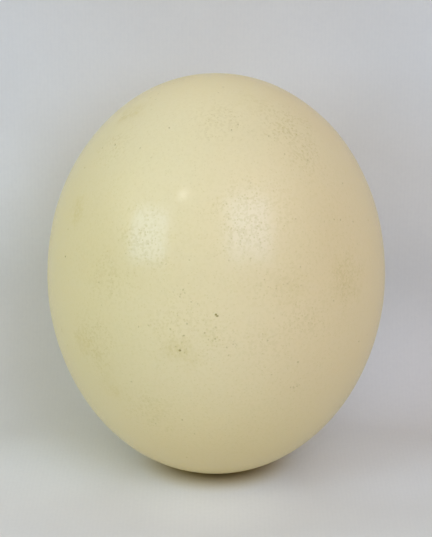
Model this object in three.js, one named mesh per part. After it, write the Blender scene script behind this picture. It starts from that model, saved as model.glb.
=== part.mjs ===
// Ostrich egg: one whole egg standing upright on the small flat spot of its lower end.
// Millimetres, +Z up. The origin is the centre of the flat spot, on the surface that the egg stands on.
import * as THREE from "three";

// Driving dimensions
const EGG_WIDTH = 128; // across the widest ring
const EGG_LENGTH = 155; // from pole to pole, as the egg would be without its flat spot
const TOP_FULLNESS = 0.008; // share by which the upper half is fuller than an ellipse, and the lower half slimmer
const FLAT_SPOT_WIDTH = 21; // across the worn patch of the lower end that the egg stands on

// Facets
const SIDES = 64; // round each ring
const RINGS = 48; // from the rim of the flat spot to the upper pole

// Shell finish
const CREAM = 0xe0d4ae;
const SATIN_ROUGHNESS = 0.35;

// Outline of the whole egg at a latitude from -PI / 2, its lower pole, to PI / 2, its upper pole.
// x is the distance from the egg's axis and y the height above the middle of its length.
function outlineAt(latitude) {
  const fullness = 1 + TOP_FULLNESS * Math.sin(latitude);
  const fromAxis = (EGG_WIDTH / 2) * Math.cos(latitude) * fullness;
  const height = (EGG_LENGTH / 2) * Math.sin(latitude);
  return new THREE.Vector2(fromAxis, height);
}

// Latitude at which the lower end is as wide as the flat spot, found by halving the stretch that holds it.
function flatSpotLatitude() {
  let narrow = -Math.PI / 2;
  let wide = 0;
  while (wide - narrow > 1e-9) {
    const middle = (narrow + wide) / 2;
    if (outlineAt(middle).x < FLAT_SPOT_WIDTH / 2) narrow = middle;
    else wide = middle;
  }
  return narrow;
}

// The egg is a body of revolution: the centre of the flat spot, the rim of the flat spot, then up the side to the
// upper pole, with the flat spot brought down to height 0.
function eggGeometry() {
  const start = flatSpotLatitude();
  const drop = outlineAt(start).y;
  const profile = [new THREE.Vector2(0, 0)];
  for (let ring = 0; ring < RINGS; ring++) {
    const latitude = start + ((Math.PI / 2 - start) * ring) / RINGS;
    const point = outlineAt(latitude);
    profile.push(new THREE.Vector2(point.x, point.y - drop));
  }
  profile.push(new THREE.Vector2(0, EGG_LENGTH / 2 - drop));
  const geometry = new THREE.LatheGeometry(profile, SIDES);
  geometry.rotateX(Math.PI / 2); // a lathe turns about +Y, and the egg's axis is +Z
  return geometry;
}

const shell = new THREE.MeshStandardMaterial({ color: CREAM, roughness: SATIN_ROUGHNESS, metalness: 0 });

const egg = new THREE.Mesh(eggGeometry(), shell);
egg.name = "egg";

const ostrichEgg = new THREE.Group();
ostrichEgg.add(egg);

export default ostrichEgg;
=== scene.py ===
# %% [markdown]
# # An ostrich egg with a pored, satin shell
#
# An ostrich egg is one closed shell about the size of a melon. From a step away it is a smooth cream form
# with soft lights on it. From close up it is never plain: hundreds of pores dot it, the biggest are real
# pits with dirt in them, the cream drifts between yellow and beige, and old nest stains cloud it here and
# there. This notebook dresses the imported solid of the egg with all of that. First it loads the solid,
# which fixes the size and the place.

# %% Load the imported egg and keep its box
import math

import bmesh
import bpy
import numpy as np
from mathutils import Matrix, Quaternion, Vector, noise
from mathutils.bvhtree import BVHTree


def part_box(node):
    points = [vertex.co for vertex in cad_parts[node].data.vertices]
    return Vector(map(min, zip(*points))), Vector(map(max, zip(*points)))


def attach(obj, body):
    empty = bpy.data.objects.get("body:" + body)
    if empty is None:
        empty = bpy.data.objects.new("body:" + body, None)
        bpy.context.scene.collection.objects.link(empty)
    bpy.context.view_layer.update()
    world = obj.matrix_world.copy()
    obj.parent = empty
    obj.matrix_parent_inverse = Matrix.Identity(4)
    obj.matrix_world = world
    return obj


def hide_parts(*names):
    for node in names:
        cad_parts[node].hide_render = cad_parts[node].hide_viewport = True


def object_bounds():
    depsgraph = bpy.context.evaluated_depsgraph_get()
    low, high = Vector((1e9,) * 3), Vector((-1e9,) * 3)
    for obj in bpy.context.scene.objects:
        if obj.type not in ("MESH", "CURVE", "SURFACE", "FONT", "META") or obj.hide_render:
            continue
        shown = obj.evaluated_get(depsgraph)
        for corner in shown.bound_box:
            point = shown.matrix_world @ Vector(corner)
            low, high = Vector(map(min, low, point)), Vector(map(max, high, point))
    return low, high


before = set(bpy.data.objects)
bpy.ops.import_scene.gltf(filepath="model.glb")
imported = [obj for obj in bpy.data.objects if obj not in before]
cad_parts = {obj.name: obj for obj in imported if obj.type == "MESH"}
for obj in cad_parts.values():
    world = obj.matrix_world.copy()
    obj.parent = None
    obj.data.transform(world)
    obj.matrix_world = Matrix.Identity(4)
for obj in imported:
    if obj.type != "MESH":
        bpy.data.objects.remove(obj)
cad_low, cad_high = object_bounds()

MM = 0.001  # one millimetre in the metres of this scene
cad_width, cad_height = cad_high.x - cad_low.x, cad_high.z - cad_low.z
print("packed egg, width and height in mm:", round(cad_width / MM, 1), round(cad_height / MM, 1))

# %% [markdown]
# ## The form of the egg
#
# A hen's egg has a sharp end. An ostrich egg has not: it is almost an ellipsoid, with one end a little
# fuller. It could be sculpted by hand, but a formula keeps it true from all sides and gives an exact
# place for every pore. The formula takes a direction, a point of a ball of radius 1, and returns the
# point of the egg that lies there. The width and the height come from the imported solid. The fullness and
# the flat spot that the egg stands on repeat its maker's values.

# %% The egg as a formula
TOP_FULLNESS = 0.008  # share by which the upper half is fuller than an ellipsoid, and the lower slimmer
FLAT_SPOT_WIDTH = 21 * MM

egg_low, egg_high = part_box("egg")
half_width = (egg_high.x - egg_low.x) / 2
rim_cosine = FLAT_SPOT_WIDTH / 2 / half_width / (1 - TOP_FULLNESS)
rim_sine = math.sqrt(1 - rim_cosine**2)
half_length = (egg_high.z - egg_low.z) / (1 + rim_sine)
middle_height = half_length * rim_sine


def shell_points(ways):
    """The points of the smooth egg in these directions, one row each. The flat spot isn't cut yet."""
    fullness = 1 + TOP_FULLNESS * ways[:, 2:3]
    level = half_width * fullness * ways[:, :2]
    return np.hstack([level, half_length * ways[:, 2:3] + middle_height])


def shell_normals(ways):
    """The outward normals of the smooth egg in these directions."""
    up = ways[:, 2]
    level = np.maximum(np.hypot(ways[:, 0], ways[:, 1]), 1e-9)
    outward = half_length * level
    upward = half_width * (up * (1 + TOP_FULLNESS * up) - TOP_FULLNESS * level**2)
    normals = np.stack([ways[:, 0] / level * outward, ways[:, 1] / level * outward, upward], axis=1)
    return normals / np.linalg.norm(normals, axis=1, keepdims=True)


def way_to(point):
    """The direction, on the ball of radius 1, of a point on or near the egg."""
    x, y, z = point
    return Vector((x / half_width, y / half_width, (z - middle_height) / half_length)).normalized()


print("half length in mm:", round(half_length / MM, 2), "middle height:", round(middle_height / MM, 2))

# %% [markdown]
# ## The camera
#
# The egg fills three quarters of an upright picture, seen from a little above. A long lens keeps its
# outline calm, because from close by an egg looks rounder than it is. The camera is hung in one step: it
# looks along a sloping line, and it is then moved aside until the egg's middle falls on the right pixel.
# Whoever held it tilted it by half a degree.

# %% Place the camera
PICTURE_WIDTH, PICTURE_HEIGHT = 432, 537  # pixels
MIDDLE_IN_PICTURE = (215.7, 275.3)  # the pixel where the egg's middle lies
CAMERA_ABOVE_HORIZON = math.radians(20)
CAMERA_DISTANCE = 0.70
CAMERA_LENS = 123.3
CAMERA_ROLL = math.radians(0.44)
SENSOR = 36.0  # mm, the long side of the picture

camera_data = bpy.data.cameras.new("camera")
camera_data.sensor_width = SENSOR
camera_data.lens = CAMERA_LENS
camera_data.clip_start, camera_data.clip_end = 0.01, 20
camera = bpy.data.objects.new("camera", camera_data)
bpy.context.scene.collection.objects.link(camera)
bpy.context.scene.camera = camera

toward_camera = Vector((0, -math.cos(CAMERA_ABOVE_HORIZON), math.sin(CAMERA_ABOVE_HORIZON)))
roll = Quaternion(toward_camera, CAMERA_ROLL)
camera.rotation_mode = "QUATERNION"
camera.rotation_quaternion = roll @ (-toward_camera).to_track_quat("-Z", "Y")
camera_right = camera.rotation_quaternion @ Vector((1, 0, 0))
camera_up = camera.rotation_quaternion @ Vector((0, 1, 0))
pixel_tangent = SENSOR / PICTURE_HEIGHT / CAMERA_LENS  # what one pixel spans at distance 1


def ray_through(pixel):
    """The line of sight through the middle of a pixel, one long in the camera's own direction."""
    across = (pixel[0] + 0.5 - PICTURE_WIDTH / 2) * pixel_tangent
    down = (pixel[1] + 0.5 - PICTURE_HEIGHT / 2) * pixel_tangent
    return camera_right * across - camera_up * down - toward_camera


camera.location = Vector((0, 0, middle_height)) - ray_through(MIDDLE_IN_PICTURE) * CAMERA_DISTANCE
bpy.context.view_layer.update()
print("camera at", tuple(round(x, 3) for x in camera.location))

# %% Find the point of the egg behind a pixel
packed_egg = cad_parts["egg"]
packed_corners = [packed_egg.matrix_world @ vertex.co for vertex in packed_egg.data.vertices]
packed_surface = BVHTree.FromPolygons(packed_corners, [face.vertices for face in packed_egg.data.polygons])


def seen_on_egg(pixel):
    """The direction, on the ball of radius 1, of the point of the egg that this pixel shows."""
    hit = packed_surface.ray_cast(camera.location, ray_through(pixel).normalized())[0]
    if hit is None:
        raise ValueError(f"pixel {pixel} lies beside the egg")
    return way_to(hit)


middle_way = seen_on_egg(MIDDLE_IN_PICTURE)
print("way to the point seen at the egg's middle:", tuple(round(x, 3) for x in middle_way))

# %% [markdown]
# ## Where the pores lie
#
# A chick breathes through the pores of its shell. On an ostrich egg they gather in loose crowds, and the
# largest are worn into pits that hold dirt. A texture could fake them all, but a pit that is really there
# catches the light and stays in the mesh when the egg is used elsewhere. So the larger ones become
# geometry. The forty that the eye picks out on the front are listed one by one, and the others are
# scattered by a seeded generator that likes to stay in crowds.

# %% List the pores that the eye picks out
# Each of the dark ones on the front: the pixel that shows it, its width in mm, and how dark its dirt is.
FRONT_PORES = [
    ((215.4, 314.2), 0.95, 1.00),
    ((216.8, 315.6), 0.90, 0.95),
    ((179.3, 350), 1.05, 0.90),
    ((175, 346), 0.65, 0.35),
    ((184, 352), 0.60, 0.30),
    ((204, 332.5), 0.80, 0.32),
    ((214.5, 338.5), 0.80, 0.36),
    ((226, 347), 0.80, 0.25),
    ((115, 144), 0.80, 0.68),
    ((102, 147), 0.65, 0.50),
    ((140, 147), 0.70, 0.38),
    ((84.5, 167), 0.65, 0.50),
    ((65, 256), 0.75, 0.85),
    ((169, 127), 0.70, 0.58),
    ((231, 129), 0.65, 0.58),
    ((237.5, 123.5), 0.70, 0.45),
    ((218, 92), 0.65, 0.30),
    ((268, 135), 0.85, 0.30),
    ((284, 153), 0.70, 0.30),
    ((307, 159), 0.80, 0.26),
    ((250, 182), 0.65, 0.17),
    ((226, 203), 0.75, 0.28),
    ((228, 218), 0.70, 0.18),
    ((228, 260), 0.70, 0.20),
    ((250, 258), 0.75, 0.20),
    ((264, 279), 0.70, 0.25),
    ((333.5, 218.5), 0.65, 0.35),
    ((340, 219), 0.70, 0.45),
    ((295, 218), 0.65, 0.25),
    ((333, 300), 0.70, 0.32),
    ((358.5, 341), 0.70, 0.55),
    ((297.5, 361.5), 0.75, 0.50),
    ((271, 374), 0.70, 0.28),
    ((148, 325), 0.80, 0.26),
    ((169.5, 328.5), 0.75, 0.30),
    ((177, 315), 0.65, 0.25),
    ((163, 357), 0.65, 0.10),
    ((131, 381), 0.75, 0.30),
    ((155, 423), 0.70, 0.30),
    ((127, 283), 0.65, 0.10),
]
print("pores placed by hand:", len(FRONT_PORES))

# %% Scatter the others, most of them in crowds
SCATTERED_PORES = 560
CROWDS, SHARE_IN_CROWDS = 30, 0.7
CROWD_REACH = (0.06, 0.22)  # least and most, on the ball of radius 1
rng = np.random.default_rng(7)


def random_ways(count):
    """Directions spread evenly over the ball."""
    ways = rng.normal(size=(count, 3))
    return ways / np.linalg.norm(ways, axis=1, keepdims=True)


crowd_ways = random_ways(CROWDS)
crowd_reach = rng.uniform(*CROWD_REACH, CROWDS)
in_crowd = rng.random(SCATTERED_PORES) < SHARE_IN_CROWDS
crowd = rng.integers(0, CROWDS, SCATTERED_PORES)
scattered = random_ways(SCATTERED_PORES)
from_crowd = random_ways(SCATTERED_PORES) * crowd_reach[crowd, None] * rng.random((SCATTERED_PORES, 1))
near_crowd = crowd_ways[crowd] + from_crowd
scattered = np.where(in_crowd[:, None], near_crowd, scattered)
scattered /= np.linalg.norm(scattered, axis=1, keepdims=True)
print("pores scattered:", len(scattered), "of them in crowds:", in_crowd.sum())

# %% Give them widths and dirt, and put both kinds together
NARROWEST_PORE, MORE_WIDTH = 0.42, 0.36  # mm: the least width, and the most that chance adds to it
LEAST_DIRT, MORE_DIRT = 0.10, 0.30

lot = rng.random(SCATTERED_PORES)
scattered_widths = NARROWEST_PORE + MORE_WIDTH * lot**2  # the square and the cube keep most narrow and clean
scattered_dirt = LEAST_DIRT + MORE_DIRT * lot**3
pore_ways = np.vstack([[seen_on_egg(pixel) for pixel, _, _ in FRONT_PORES], scattered])
pore_widths = np.concatenate([[width for _, width, _ in FRONT_PORES], scattered_widths]) * MM
pore_dirt = np.concatenate([[dirt for _, _, dirt in FRONT_PORES], scattered_dirt])
print("pits in the shell:", len(pore_ways))

# %% [markdown]
# ## The shell as a mesh
#
# The shell starts as an icosphere, whose triangles are all about alike, so that neither pole is crowded.
# At 1.3 mm they are too coarse for a pit of 0.6 mm. Cutting all of them finer would take millions of
# triangles, so only those around a pit are cut, three times over. Then every vertex goes out to the egg's
# surface, a little in or out for the slow waves of a real shell, and down into its pit if it is in one.
# The depth of dirt is kept on the vertices for the material.

# %% Cut the ball finer where pits will be
FIRST_CUTS = 7  # Blender's number for an icosphere of 81920 triangles
TYPICAL_WIDTH = 0.7 * MM  # of a pit
CUT_RINGS = (2.1 * MM, 1.15 * MM, 0.75 * MM)  # how far from such a pit faces are cut, one radius a round

ball = bmesh.new()
bmesh.ops.create_icosphere(ball, subdivisions=FIRST_CUTS, radius=1.0)
pore_points = shell_points(pore_ways)
for ring in CUT_RINGS:
    ball.faces.ensure_lookup_table()
    centres = np.array([face.calc_center_median() for face in ball.faces])
    centres = shell_points(centres / np.linalg.norm(centres, axis=1, keepdims=True))
    near = np.zeros(len(centres), bool)
    for point, width in zip(pore_points, pore_widths):
        near |= ((centres - point) ** 2).sum(1) < (ring * width / TYPICAL_WIDTH) ** 2
    edges = {edge for index in np.flatnonzero(near) for edge in ball.faces[index].edges}
    bmesh.ops.subdivide_edges(ball, edges=list(edges), cuts=1, use_grid_fill=True)
bmesh.ops.triangulate(ball, faces=ball.faces)
print("triangles:", len(ball.faces))

# %% Push the ball out to the egg, with its waves
WAVE_LENGTH, WAVE_HEIGHT = 26 * MM, 0.16 * MM
RIPPLE_LENGTH, RIPPLE_HEIGHT = 7 * MM, 0.018 * MM

ways = np.array([vertex.co.normalized() for vertex in ball.verts])
points, normals = shell_points(ways), shell_normals(ways)
waves = np.array([noise.noise(Vector(p) / WAVE_LENGTH) for p in points])
ripples = np.array([noise.noise(Vector(p) / RIPPLE_LENGTH) for p in points])
lift = waves * WAVE_HEIGHT + ripples * RIPPLE_HEIGHT
print("lowest and highest wave in mm:", round(lift.min() / MM, 3), round(lift.max() / MM, 3))

# %% Press the pits into it, and level the flat spot
PIT_DEPTH_SHARE = 0.24  # depth of a pit as a share of its width
PIT_STRETCH = 0.35  # most that a pit is longer than wide
PIT_SEARCH = 1.2  # how far from its middle the vertices of a pit are looked for, in widths
PIT_POWER, DIRT_POWER = 1.5, 0.7  # over 1, all gathers in the middle; under 1, it fills the pit to the rim

dirt = np.zeros(len(points))
pore_normals = shell_normals(pore_ways)
for point, normal, width, darkness in zip(pore_points, pore_normals, pore_widths, pore_dirt):
    along = np.cross(normal, random_ways(1)[0])
    along /= np.linalg.norm(along)
    stretch = 1 + PIT_STRETCH * rng.random()
    near = np.flatnonzero(((points - point) ** 2).sum(1) < (width * PIT_SEARCH) ** 2)
    away = points[near] - point
    forth = away @ along / stretch
    side = away @ np.cross(normal, along) * stretch
    inside = np.clip(1 - (forth**2 + side**2) / (width / 2) ** 2, 0, 1)
    lift[near] -= PIT_DEPTH_SHARE * width * inside**PIT_POWER
    dirt[near] = np.maximum(dirt[near], darkness * inside**DIRT_POWER)
points += normals * lift[:, None]
points[:, 2] = np.maximum(points[:, 2], 0)
print("deepest pit in mm:", round(PIT_DEPTH_SHARE * pore_widths.max() / MM, 2))

# %% Make the eggshell of it
shell_mesh = bpy.data.meshes.new("eggshell")
for vertex, point in zip(ball.verts, points):
    vertex.co = point
ball.to_mesh(shell_mesh)
ball.free()
shell_mesh.shade_smooth()
shell_mesh.attributes.new("pore_dirt", "FLOAT", "POINT").data.foreach_set("value", dirt.astype(np.float32))
eggshell = bpy.data.objects.new("eggshell", shell_mesh)
bpy.context.scene.collection.objects.link(eggshell)
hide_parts("egg")
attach(eggshell, "root")
print("lowest and highest point in mm:", points[:, 2].min() / MM, round(points[:, 2].max() / MM, 2))

# %% [markdown]
# ## Three patterns, each built once
#
# The shell's colour is made of few effects, each used several times at different sizes. Each effect is a
# node group with named sockets, so that a finish reads like a list: broad clouds of tone, fields of small
# pores, and patches with ragged edges. All three measure in millimetres from the object's own
# coordinates, and so nothing slides when the egg or camera moves.


# %% Small helpers for node trees
def feed(tree, socket, value):
    """Links an output socket to this input, or sets the input's own value."""
    if isinstance(value, bpy.types.NodeSocket):
        tree.links.new(value, socket)
    else:
        socket.default_value = value


def add_node(tree, kind, settings=None, **values):
    """Adds a node. settings are its own properties, values its inputs by name, with _ for a space."""
    node = tree.nodes.new(kind)
    for name, value in (settings or {}).items():
        setattr(node, name, value)
    for name, value in values.items():
        feed(tree, node.inputs[name.replace("_", " ")], value)
    return node


def calculate(tree, operation, first, second=0.0, third=0.0, clamp=False):
    """A Math node's result. Each value is a number or an output socket."""
    node = add_node(tree, "ShaderNodeMath", {"operation": operation, "use_clamp": clamp})
    for socket, value in zip(node.inputs, (first, second, third)):
        feed(tree, socket, value)
    return node.outputs[0]


# %% Helpers for masks, colours and places
def ramp(tree, value, low, high):
    """A smooth rise from 0 at low to 1 at high, or a fall where high is the smaller one."""
    settings = {"interpolation_type": "SMOOTHSTEP"}
    node = add_node(tree, "ShaderNodeMapRange", settings, Value=value, From_Min=low, From_Max=high)
    return node.outputs["Result"]


def tint(tree, colour, other, share, blend="MIX"):
    """A colour that goes from colour to other by share."""
    node = add_node(tree, "ShaderNodeMix", {"data_type": "RGBA", "blend_type": blend})
    for name, value in (("Factor_Float", share), ("A_Color", colour), ("B_Color", other)):
        socket = next(s for s in node.inputs if s.identifier == name)
        feed(tree, socket, (*value, 1.0) if isinstance(value, tuple) else value)
    return next(s for s in node.outputs if s.identifier == "Result_Color")


def position_in_mm(tree):
    """Where a point lies on its own piece, in millimetres."""
    in_metres = tree.nodes.new("ShaderNodeTexCoord").outputs["Object"]
    scaled = add_node(tree, "ShaderNodeVectorMath", {"operation": "SCALE"}, Vector=in_metres, Scale=1 / MM)
    return scaled.outputs[0]


def counted_in(tree, position, unit):
    """The position counted in this unit, so that a pattern of size 1 comes out as large as the unit."""
    scale = calculate(tree, "DIVIDE", 1.0, unit)
    scaled = add_node(tree, "ShaderNodeVectorMath", {"operation": "SCALE"}, Vector=position, Scale=scale)
    return scaled.outputs[0]


# %% Two helpers for node groups
def new_group(name, inputs, outputs):
    """An empty node group with these float or vector inputs, and its two end nodes."""
    tree = bpy.data.node_groups.new(name, "ShaderNodeTree")
    for label, start in inputs.items():
        kind = "NodeSocketVector" if isinstance(start, tuple) else "NodeSocketFloat"
        tree.interface.new_socket(label, in_out="INPUT", socket_type=kind).default_value = start
    for label in outputs:
        tree.interface.new_socket(label, in_out="OUTPUT", socket_type="NodeSocketFloat")
    return tree, tree.nodes.new("NodeGroupInput").outputs, tree.nodes.new("NodeGroupOutput").inputs


def place(tree, group, **values):
    """Places a node group in a tree with its own values, and returns its first output."""
    return add_node(tree, "ShaderNodeGroup", {"node_tree": group}, **values).outputs[0]


# %% Clouds of tone
clouds, given, result = new_group(
    "clouds of tone",
    {"Position": (0.0, 0.0, 0.0), "Size": 30.0, "Detail": 3.0, "Low": 0.4, "High": 0.6},
    ["Clouds"],
)
in_sizes = counted_in(clouds, given["Position"], given["Size"])
billow = add_node(clouds, "ShaderNodeTexNoise", Vector=in_sizes, Scale=1.0, Detail=given["Detail"])
clouds.links.new(ramp(clouds, billow.outputs["Fac"], given["Low"], given["High"]), result["Clouds"])
print(clouds.name, "has nodes:", len(clouds.nodes))

# %% Fields of small pores
pore_field, given, result = new_group(
    "field of pores", {"Position": (0.0, 0.0, 0.0), "Spacing": 1.5, "Radius": 0.25, "Share": 0.5}, ["Pores"]
)
in_spacings = counted_in(pore_field, given["Position"], given["Spacing"])
cells = add_node(pore_field, "ShaderNodeTexVoronoi", Vector=in_spacings, Scale=1.0)
away_mm = calculate(pore_field, "MULTIPLY", cells.outputs["Distance"], given["Spacing"])
dots = ramp(pore_field, away_mm, given["Radius"], 0.0)
ticket = add_node(pore_field, "ShaderNodeSeparateColor", Color=cells.outputs["Color"]).outputs["Red"]
drawn = calculate(pore_field, "LESS_THAN", ticket, given["Share"])
pore_field.links.new(calculate(pore_field, "MULTIPLY", dots, drawn), result["Pores"])
print(pore_field.name, "has nodes:", len(pore_field.nodes))

# %% Patches with ragged edges
PATCH_RIM, PATCH_CORE = 1.25, 0.25  # how far from its middle a patch ends and is full, in reaches
FRAY_DEPTH = 0.6  # how far the fray draws the edge in, in reaches

patch_group, given, result = new_group(
    "ragged patch",
    {"Position": (0.0, 0.0, 0.0), "Middle": (0.0, 0.0, 0.0), "Reach": 10.0, "Fray": 0.5},
    ["Patch"],
)
apart = add_node(patch_group, "ShaderNodeVectorMath", {"operation": "DISTANCE"}, Vector=given["Position"])
patch_group.links.new(given["Middle"], apart.inputs[1])
in_reaches = calculate(patch_group, "DIVIDE", apart.outputs["Value"], given["Reach"])
frayed = calculate(patch_group, "MULTIPLY_ADD", given["Fray"], FRAY_DEPTH, in_reaches)
patch_group.links.new(ramp(patch_group, frayed, PATCH_RIM, PATCH_CORE), result["Patch"])
print("node groups:", [group.name for group in bpy.data.node_groups])

# %% [markdown]
# ## The colours of the shell
#
# No two places of a shell have the same cream. Paler, yellower, pinker and warmer ones run into each
# other, each over a good part of the egg. Noise could mix them, but then their places would be left to
# chance. So each tone has a mask of a few wide, soft patches. Those on the front are listed one by one,
# and a seeded generator adds others behind, so that the egg has no blank side. One more mask, with a
# ragged edge, tells where the fine pores crowd.

# %% Start the material of the shell
cream_shell = bpy.data.materials.new("cream shell")
cream_shell.use_nodes = True
tree = cream_shell.node_tree
shell_shader = tree.nodes["Principled BSDF"]
position = position_in_mm(tree)
print("material:", cream_shell.name)


# %% A helper that lays patches on the front and behind
def lay_patches(front, strays, reaches, powers, fray):
    """One mask of many patches, for the shell's material.

    Those of front are each a pixel, a reach in mm and a power. The strays are drawn by lot, on the half of
    the egg that the camera doesn't see. reaches and powers hold the least and the most that a stray gets.
    """
    spots = []
    for pixel, reach, power in front:
        spots.append((shell_points(np.array([seen_on_egg(pixel)]))[0], reach, power))
    for way in random_ways(strays):
        way[1] = abs(way[1])
        spots.append((shell_points(way[None, :])[0], rng.uniform(*reaches), rng.uniform(*powers)))
    mask = 0.0
    for middle, reach, power in spots:
        middle = tuple(middle / MM)
        patch = place(tree, patch_group, Position=position, Middle=middle, Reach=float(reach), Fray=fray)
        mask = calculate(tree, "MAXIMUM", mask, calculate(tree, "MULTIPLY", patch, float(power)))
    return mask


# %% Mix the creams
CREAM = (0.830, 0.722, 0.411)
YELLOW_CREAM = (0.770, 0.664, 0.342)
BEIGE_CREAM = (0.838, 0.678, 0.363)
WARM_CREAM = (0.843, 0.694, 0.348)
PALE_CREAM = (0.805, 0.722, 0.434)
# Each tone, its patches on the front, how many strays it has behind, and their reaches in mm
TONES = [
    (PALE_CREAM, [((110, 150), 50, 1.0), ((230, 100), 40, 0.5)], 2, (40, 60)),
    (YELLOW_CREAM, [((62, 290), 70, 1.0)], 5, (40, 70)),
    (BEIGE_CREAM, [((362, 300), 76, 1.0)], 5, (40, 70)),
    (WARM_CREAM, [((216, 460), 46, 0.9)], 2, (40, 60)),
]
TONE_POWERS = (0.5, 1.0)

colour = CREAM
for tone, front, strays, reaches in TONES:
    colour = tint(tree, colour, tone, lay_patches(front, strays, reaches, TONE_POWERS, fray=0.0))
print("creams that run into each other:", 1 + len(TONES))

# %% Tell where the fine pores crowd
FINE_CROWDS = [
    ((283, 122), 17, 1.0), ((222, 122), 14, 0.6), ((112, 146), 12, 0.6), ((248, 218), 19, 0.9),
    ((144, 240), 15, 1.0), ((92, 342), 15, 0.8), ((108, 278), 14, 0.6), ((176, 330), 16, 0.5),
    ((280, 285), 18, 0.25), ((347, 276), 12, 0.7), ((306, 156), 12, 0.8), ((262, 345), 15, 0.35),
    ((150, 410), 14, 0.5), ((215, 338), 12, 0.6), ((300, 320), 14, 0.5),
]
fray = place(tree, clouds, Position=position, Size=6.0, Detail=5.0, Low=0.3, High=0.7)
crowding = lay_patches(FINE_CROWDS, strays=14, reaches=(12, 24), powers=(0.5, 1.0), fray=fray)
print("crowds of fine pores on the front:", len(FINE_CROWDS))

# %% [markdown]
# ## The grain of fine pores
#
# Between the pits lie thousands of finer pores. As geometry they would cost millions of triangles, and a
# picture of them would be sharp at one distance only. So they are dots from a Voronoi pattern, in two
# sizes, with a faint mottle of noise between them. They show everywhere a little, and clearly where the
# pores crowd.

# %% Pepper it with fine pores
FINE_PORE_TONE = (0.53, 0.43, 0.15)
SPECK_SHIFT = (130.0, 70.0, 20.0)  # mm, so that the specks don't follow the pepper

shifted = add_node(tree, "ShaderNodeVectorMath", {"operation": "ADD"}, Vector=position)
shifted.inputs[1].default_value = SPECK_SHIFT
pepper = place(tree, pore_field, Position=position, Spacing=1.15, Radius=0.42, Share=0.7)
specks = place(tree, pore_field, Position=shifted.outputs[0], Spacing=2.1, Radius=0.62, Share=0.45)
mottle = place(tree, clouds, Position=position, Size=1.2, Detail=2.0, Low=0.45, High=0.62)
# Each pattern, how much of it shows everywhere, and how much more where the pores crowd
GRAIN = [(mottle, 0.07, 0.20), (pepper, 0.24, 0.45), (specks, 0.13, 0.42)]
for pattern, everywhere, in_crowds in GRAIN:
    shown = calculate(tree, "MULTIPLY_ADD", crowding, in_crowds, everywhere)
    colour = tint(tree, colour, FINE_PORE_TONE, calculate(tree, "MULTIPLY", pattern, shown))
print("patterns in the grain:", len(GRAIN))

# %% [markdown]
# ## Stains and dirt
#
# The nest has left faint brown clouds on the shell, and dirt has settled in the pits. A stain is a small
# patch with a frayed edge, and it is stippled, because soil clings to the rough spots first. Dirt could
# be painted with the same patches, but the vertices already know how deep they lie in a pit, so it
# follows them and stays inside.

# %% Lay the stains and the dirt over it
STAIN_TONE = (0.60, 0.48, 0.13)
DIRT_TONE = (0.24, 0.18, 0.02)
STAINS = [
    ((177, 349), 10, 0.24), ((86, 342), 8, 0.29), ((102, 361), 7, 0.11), ((117, 392), 9, 0.20),
    ((156, 411), 10, 0.10), ((132, 112), 9, 0.31), ((77, 210), 7, 0.29), ((100, 276), 11, 0.06),
    ((283, 122), 13, 0.05), ((306, 156), 9, 0.02), ((347, 277), 14, 0.15), ((211, 333), 7, 0.08),
    ((292, 287), 9, 0.11), ((255, 102), 10, 0.10),
]
EVEN_SOIL, STIPPLED_SOIL = 0.3, 0.8  # how much of a stain is even, and how much comes with the stipple

stained = lay_patches(STAINS, strays=12, reaches=(6, 16), powers=(0.10, 0.25), fray=fray)
stipple = place(tree, clouds, Position=position, Size=1.3, Detail=4.0, Low=0.32, High=0.66)
soil = calculate(tree, "MULTIPLY_ADD", stipple, STIPPLED_SOIL, EVEN_SOIL)
colour = tint(tree, colour, STAIN_TONE, calculate(tree, "MULTIPLY", stained, soil))
pit_dirt = add_node(tree, "ShaderNodeAttribute", {"attribute_name": "pore_dirt"}).outputs["Fac"]
colour = tint(tree, colour, DIRT_TONE, pit_dirt)
tree.links.new(colour, shell_shader.inputs["Base Color"])
print("stains on the front:", len(STAINS))

# %% [markdown]
# ## The gloss
#
# An ostrich egg mirrors a window as a soft white patch, broken into grain. The lime is nearly matt, and
# the gloss is that of a thin skin over it, which is the shader's coat here. Every pore, stain and pit
# opens the skin by its own mask, so the patch breaks up just where the pores are. A full coat of a low
# index would also light up the whole outline. A high index with a small weight keeps the patch as strong
# and the outline calm. The relief of the finest pores, too small for the mesh, is a Bump. Light also sinks
# a little way into the lime and comes out beside, and that is the shader's subsurface.

# %% Open the skin and set the gloss
SKIN_SHARE = 0.41
SKIN_ROUGHNESS = 0.13
LIME_ROUGHNESS = 0.55
# Each mark, and how far it opens the skin. The dirt in a pit opens it fully.
OPENINGS = [(pepper, 0.80), (specks, 0.90), (mottle, 0.30), (stained, 0.30)]

opened = pit_dirt
for mark, power in OPENINGS:
    opened = calculate(tree, "MULTIPLY_ADD", mark, power, opened)
whole = calculate(tree, "SUBTRACT", 1.0, opened, clamp=True)
tree.links.new(calculate(tree, "MULTIPLY", whole, SKIN_SHARE), shell_shader.inputs["Coat Weight"])
shell_shader.inputs["Roughness"].default_value = LIME_ROUGHNESS
shell_shader.inputs["Specular IOR Level"].default_value = 0.12
shell_shader.inputs["IOR"].default_value = 1.5
shell_shader.inputs["Coat Roughness"].default_value = SKIN_ROUGHNESS
shell_shader.inputs["Coat IOR"].default_value = 1.6
print("marks that open the skin:", len(OPENINGS) + 1)

# %% Give the lime its relief and its depth
GRAIN_DEPTH = 0.004 * MM

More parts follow.
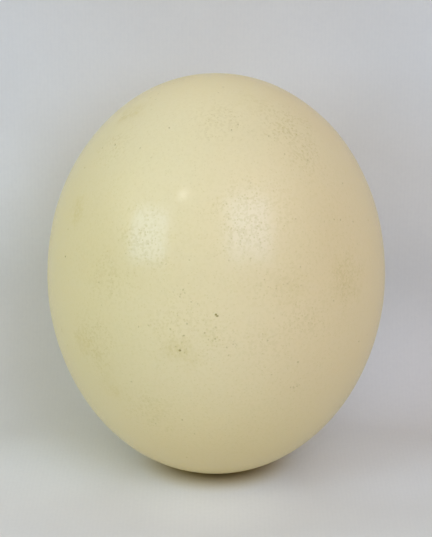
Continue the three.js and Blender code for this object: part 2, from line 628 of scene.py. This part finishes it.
height = calculate(tree, "MULTIPLY_ADD", calculate(tree, "ADD", pepper, specks), -1.0, mottle)
grain = add_node(tree, "ShaderNodeBump", Height=height, Strength=1.0, Distance=GRAIN_DEPTH)
tree.links.new(grain.outputs["Normal"], shell_shader.inputs["Normal"])
shell_shader.inputs["Subsurface Weight"].default_value = 0.12
shell_shader.inputs["Subsurface Radius"].default_value = (1.0, 0.75, 0.45)
shell_shader.inputs["Subsurface Scale"].default_value = 2.0 * MM
shell_mesh.materials.append(cream_shell)
print(cream_shell.name, "has nodes:", len(tree.nodes))

# %% [markdown]
# ## The studio
#
# The egg stands in a light tent: a white sheet that runs from the table up behind it in one bend, and
# lamps that shine through the cloth. A flat floor under a bright sky would be simpler, but it loses the
# soft grey that the egg throws on the sheet around it. So the bend starts close behind the egg, and the
# sheet runs on far beyond the picture's sides.

# %% Hang the sheet
SHEET_HALF_WIDTH = 1.6
SHEET_FRONT, SHEET_BEND_START = -0.85, 0.022  # along y
BEND_RADIUS, BEND_ANGLE, BEND_STEPS = 0.050, math.radians(87), 24
SHEET_HEIGHT = 1.3  # of the straight part above the bend

sheet_side = [(SHEET_FRONT, 0.0), (SHEET_BEND_START, 0.0)]
for step in range(1, BEND_STEPS + 1):
    turn = BEND_ANGLE * step / BEND_STEPS
    sheet_side.append((SHEET_BEND_START + BEND_RADIUS * math.sin(turn), BEND_RADIUS * (1 - math.cos(turn))))
bend_y, bend_z = sheet_side[-1]
sheet_side.append((bend_y + SHEET_HEIGHT / math.tan(BEND_ANGLE), bend_z + SHEET_HEIGHT))
sheet_points = [(x, y, z) for y, z in sheet_side for x in (-SHEET_HALF_WIDTH, SHEET_HALF_WIDTH)]
sheet_faces = [(2 * i, 2 * i + 1, 2 * i + 3, 2 * i + 2) for i in range(len(sheet_side) - 1)]
sheet_mesh = bpy.data.meshes.new("tent_sheet")
sheet_mesh.from_pydata(sheet_points, [], sheet_faces)
sheet_mesh.shade_smooth()
tent_sheet = bpy.data.objects.new("tent_sheet", sheet_mesh)
bpy.context.scene.collection.objects.link(tent_sheet)
print("sheet, width and height in m:", 2 * SHEET_HALF_WIDTH, round(sheet_side[-1][1], 2))

# %% [markdown]
# ## The cloth of the sheet
#
# White cloth is seldom one white, and this one also carries painted light and shade. Painted shade
# makes it darker and yellower higher up, and painted light makes it lighter beside and in front of the
# egg. Under the egg lies a painted shadow, dark brown and warmed as by light bounced off the egg, which
# keeps the line of shadow there dark and warm. Fine ribs and a weave of noise give it a surface. Right
# behind the egg the cloth glows by its own emission, a painted light, so that the egg's back doesn't lie
# in its own shadow. The cloth shows only its front, so that a camera behind it still sees the egg.

# %% Start the cloth, with its broad tones
SHEET_WHITE = (0.729, 0.726, 0.680)
SHEET_GREY = (0.678, 0.676, 0.633)
# the colour of the painted shade that darkens the sheet higher up
SHEET_PAINTED_SHADE_ABOVE = (0.72, 0.66, 0.55)

white_cloth = bpy.data.materials.new("white cloth")
white_cloth.use_nodes = True
tree = white_cloth.node_tree
cloth_shader = tree.nodes["Principled BSDF"]
cloth_shader.inputs["Roughness"].default_value = 0.9
cloth_shader.inputs["Specular IOR Level"].default_value = 0.1
position = position_in_mm(tree)


def round_patch(middle, reach):
    """A soft round patch of the cloth, with its middle and its reach in mm."""
    return place(tree, patch_group, Position=position, Middle=middle, Reach=reach, Fray=0.0)


shade = place(tree, clouds, Position=position, Size=90.0, Detail=4.0, Low=0.3, High=0.7)
colour = tint(tree, SHEET_WHITE, SHEET_GREY, shade)
# Painted shade: a wide patch high on the sheet makes the cloth darker and yellower there
colour = tint(tree, colour, SHEET_PAINTED_SHADE_ABOVE, round_patch((0.0, 80.0, 330.0), 200.0))
print("material:", white_cloth.name)

# %% Paint light round the egg, and give it ribs and a weave
# the colour of the painted light that lightens the cloth round the egg
SHEET_PAINTED_LIGHT = (0.766, 0.775, 0.737)
SHEET_DUSK = (0.45, 0.455, 0.45)  # the tone in the hollows of the weave
# Patches of painted light, where the cloth is made lighter: the middle and the reach in mm, and how strong
PAINTED_LIGHT_PATCHES = [
    ((0.0, -30.0, 0.0), 36.0, 1.0), ((66.0, -5.0, 0.0), 36.0, 0.9), ((-66.0, -5.0, 0.0), 36.0, 0.6),
    ((76.0, 50.0, 20.0), 34.0, 0.9), ((-90.0, 75.0, 78.0), 34.0, 0.7),
]
RIB_WIDTH = 1.57  # mm from rib to rib
RIB_RELIEF, HOLLOW_SHADE = 0.25, 0.05  # how high the ribs stand beside the weave, and how far hollows darken

painted_light = 0.0
for middle, reach, power in PAINTED_LIGHT_PATCHES:
    painted_light = calculate(tree, "MAXIMUM", painted_light, calculate(tree, "MULTIPLY", round_patch(middle, reach), power))
# Painted light: the patches lighten the cloth in front of, beside and behind the egg, where its shade falls
colour = tint(tree, colour, SHEET_PAINTED_LIGHT, painted_light)
across = add_node(tree, "ShaderNodeSeparateXYZ", Vector=position).outputs["X"]
rib = calculate(tree, "SINE", calculate(tree, "MULTIPLY", across, 2 * math.pi / RIB_WIDTH))
weave = place(tree, clouds, Position=position, Size=1.6, Detail=3.0, Low=0.3, High=0.7)
relief = calculate(tree, "MULTIPLY_ADD", rib, RIB_RELIEF, weave)
hollows = calculate(tree, "MULTIPLY", calculate(tree, "SUBTRACT", 1.0, relief), HOLLOW_SHADE, clamp=True)
colour = tint(tree, colour, SHEET_DUSK, hollows)
print("patches of painted light:", len(PAINTED_LIGHT_PATCHES))

# %% Paint a shadow under the egg, and a glow behind it
# the colour of the painted contact shadow under the egg
SHEET_PAINTED_SHADOW = (0.20, 0.15, 0.045)
SHEET_PAINTED_BOUNCE = (1.2, 0.95, 0.42)  # a factor that warms the cloth round the egg's foot, painted light as if bounced off the egg
# the colour of the painted glow on the cloth right behind the egg
SHEET_PAINTED_GLOW = (0.17, 0.21, 0.24)
FOOT_OF_EGG = (0.0, 0.0, 0.0)

# Painted shadow: a dark brown patch round the egg's foot stands for its contact shadow on the cloth
colour = tint(tree, colour, SHEET_PAINTED_SHADOW, round_patch(FOOT_OF_EGG, 25.0))
# Painted light: the shadow at the egg's foot is warmed as if by light bounced off the egg
colour = tint(tree, colour, SHEET_PAINTED_BOUNCE, round_patch(FOOT_OF_EGG, 27.0), "MULTIPLY")
tree.links.new(colour, cloth_shader.inputs["Base Color"])
# Painted light: the cloth right behind the egg glows by its own emission, so the egg's back isn't lost in
# shade
painted_glow = tint(tree, (0.0, 0.0, 0.0), SHEET_PAINTED_GLOW, round_patch((0.0, 72.0, 62.0), 56.0))
tree.links.new(painted_glow, cloth_shader.inputs["Emission Color"])
cloth_shader.inputs["Emission Strength"].default_value = 1.0
print(white_cloth.name, "has nodes:", len(tree.nodes))

# %% Show only its front
facing = tree.nodes.new("ShaderNodeNewGeometry")
nothing = tree.nodes.new("ShaderNodeBsdfTransparent")
one_sided = tree.nodes.new("ShaderNodeMixShader")
tree.links.new(facing.outputs["Backfacing"], one_sided.inputs[0])
tree.links.new(cloth_shader.outputs[0], one_sided.inputs[1])
tree.links.new(nothing.outputs[0], one_sided.inputs[2])
tree.links.new(one_sided.outputs[0], tree.nodes["Material Output"].inputs["Surface"])
sheet_mesh.materials.append(white_cloth)
print(tent_sheet.name, "wears", sheet_mesh.materials[0].name)

# %% [markdown]
# ## The lamps
#
# Each lamp is set by what it does: a patch of light on the shell, given by its four corners in the
# picture. The line of sight to each corner, turned back by the shell as by a mirror, leads to that corner
# of the lamp. Both big ones are windows of white cloth, brightest in their middle, so their patches fade
# at the rim. They are bluer than the rest of the light, as daylight is beside lamplight, and so are their
# patches.

# %% Find where the corners of a lamp belong
LAMP_DISTANCE = 0.75


def mirrored_corners(corners):
    """The places from which light reaches the camera by way of these pixels of the shell."""
    places = []
    for pixel in corners:
        way = np.array([seen_on_egg(pixel)])
        spot, normal = Vector(shell_points(way)[0]), Vector(shell_normals(way)[0])
        back = (camera.location - spot).normalized()
        places.append(spot + (2 * normal.dot(back) * normal - back) * LAMP_DISTANCE)
    return places


# %% Fade a lamp toward its rim
def fade_lamp(light, rim):
    """Lets the light fall to nothing at the rim. rim is the share of the lamp's width that this takes."""
    on_lamp = light.nodes.new("ShaderNodeNewGeometry").outputs["Parametric"]
    centred = add_node(light, "ShaderNodeVectorMath", {"operation": "SUBTRACT"}, Vector=on_lamp)
    centred.inputs[1].default_value = (0.5, 0.5, 0.0)
    outward = add_node(light, "ShaderNodeVectorMath", {"operation": "ABSOLUTE"}, Vector=centred.outputs[0])
    split = add_node(light, "ShaderNodeSeparateXYZ", Vector=outward.outputs[0])
    fades = [ramp(light, split.outputs[axis], 0.5, 0.5 - rim) for axis in "XY"]
    light.links.new(calculate(light, "MULTIPLY", *fades), light.nodes["Emission"].inputs["Strength"])


# %% Hang the lamps where their reflections should be
# Each lamp: the pixels of its reflection's corners (upper left, upper right, lower right, lower left), its
# radiance, its colour, and the share of its width over which it fades out
LAMPS = {
    "left_lamp": (((136, 201), (179, 202), (167, 271), (123, 266)), 5.8, (0.48, 0.69, 1.0), 0.25),
    "right_lamp": (((221, 184), (268, 186), (284, 272), (213, 276)), 5.2, (0.49, 0.65, 1.0), 0.32),
    "small_lamp": (((175, 185), (190, 186), (190, 203), (175, 203)), 7.5, (1.0, 0.96, 0.88), 0.45),
}


def hang_lamp(name, corners, glow, colour, rim):
    """Hangs an area lamp whose reflection has its corners at these pixels."""
    upper_left, upper_right, lower_right, lower_left = mirrored_corners(corners)
    centre = (upper_left + upper_right + lower_right + lower_left) / 4
    across = (upper_right - upper_left + lower_right - lower_left) / 2
    upward = (upper_left - lower_left + upper_right - lower_right) / 2
    facing = across.cross(upward).normalized()
    if facing.dot(centre - Vector((0, 0, middle_height))) < 0:
        facing = -facing
    side = across.normalized()
    data = bpy.data.lights.new(name, "AREA")
    data.shape, data.size, data.size_y = "RECTANGLE", across.length, upward.length
    data.color = colour
    data.energy = glow * math.pi * data.size * data.size_y
    data.use_nodes = True
    fade_lamp(data.node_tree, rim)
    lamp = bpy.data.objects.new(name, data)
    turned = Matrix((side, facing.cross(side), facing)).transposed().to_4x4()
    lamp.matrix_world = Matrix.Translation(centre) @ turned
    lamp.visible_camera = False
    bpy.context.scene.collection.objects.link(lamp)
    print(name, "stands at", tuple(round(x, 2) for x in centre))
    print("its width and height in m:", round(data.size, 2), round(data.size_y, 2))


for name, (corners, glow, tone, rim) in LAMPS.items():
    hang_lamp(name, corners, glow, tone, rim)

# %% [markdown]
# ## The glow of the tent
#
# Lamps alone would leave hard shadows. The cloth of the tent scatters their light, so the egg is lit by
# wide parts of it as well. More lamps could do this, but each would leave its own patch on the shell.
# Here it is the world that glows, most strongly in three directions. The glow ends above the horizon,
# where the tent does, because light that comes in lower would fill the dark line under the egg. A camera
# sees plain cloth there, which keeps the picture calm all round.

# %% Let the cloth of the tent glow
# Each glow: the way to its middle, as degrees to the right of the front and above the horizon, how tightly
# it keeps to that middle, and its radiance there
CLOTH_GLOWS = {
    "glow from the left": (-70, 30, 6, (1.674, 1.589, 1.18)),
    "glow from the front": (0, 42, 12, (0.754, 0.511, 0.274)),
    "glow from the front right": (50, 42, 12, (1.70, 1.39, 1.27)),
}
TENT_RIM = (0.10, 0.45)  # sines of the heights above the horizon where the glow starts and where it is full

tent = bpy.data.worlds.new("light_tent")
tent.use_nodes = True
tree = tent.node_tree
way = tree.nodes.new("ShaderNodeTexCoord").outputs["Generated"]
upward = add_node(tree, "ShaderNodeSeparateXYZ", Vector=way).outputs["Z"]
above_rim = ramp(tree, upward, *TENT_RIM)
light = (0.0, 0.0, 0.0)
for name, (to_right, above, power, radiance) in CLOTH_GLOWS.items():
    to_right, above = math.radians(to_right), math.radians(above)
    middle = (math.sin(to_right) * math.cos(above), -math.cos(to_right) * math.cos(above), math.sin(above))
    toward = add_node(tree, "ShaderNodeVectorMath", {"operation": "DOT_PRODUCT"}, Vector=way)
    toward.inputs[1].default_value = middle
    share = calculate(tree, "POWER", calculate(tree, "MAXIMUM", toward.outputs["Value"], 0.0), power)
    share = calculate(tree, "MULTIPLY", share, above_rim)
    brighter = add_node(tree, "ShaderNodeVectorMath", {"operation": "MULTIPLY_ADD", "label": name})
    for socket, value in zip(brighter.inputs, (share, radiance, light)):
        feed(tree, socket, value)
    light = brighter.outputs[0]
glow_shader = tree.nodes["Background"]
tree.links.new(light, glow_shader.inputs["Color"])
print("glows of the tent:", list(CLOTH_GLOWS))

# %% Show the camera plain cloth, and keep the colours as they are
SEEN_TENT = (0.62, 0.625, 0.62)  # the plain cloth that a camera sees beside the sheet

plain = add_node(tree, "ShaderNodeBackground", Color=(*SEEN_TENT, 1.0))
who = tree.nodes.new("ShaderNodeLightPath")
shown = tree.nodes.new("ShaderNodeMixShader")
tree.links.new(who.outputs["Is Camera Ray"], shown.inputs[0])
tree.links.new(glow_shader.outputs[0], shown.inputs[1])
tree.links.new(plain.outputs[0], shown.inputs[2])
tree.links.new(shown.outputs[0], tree.nodes["World Output"].inputs["Surface"])
bpy.context.scene.world = tent
bpy.context.scene.view_settings.view_transform = "Standard"
bpy.context.scene.view_settings.look = "None"
print("world:", bpy.context.scene.world.name)
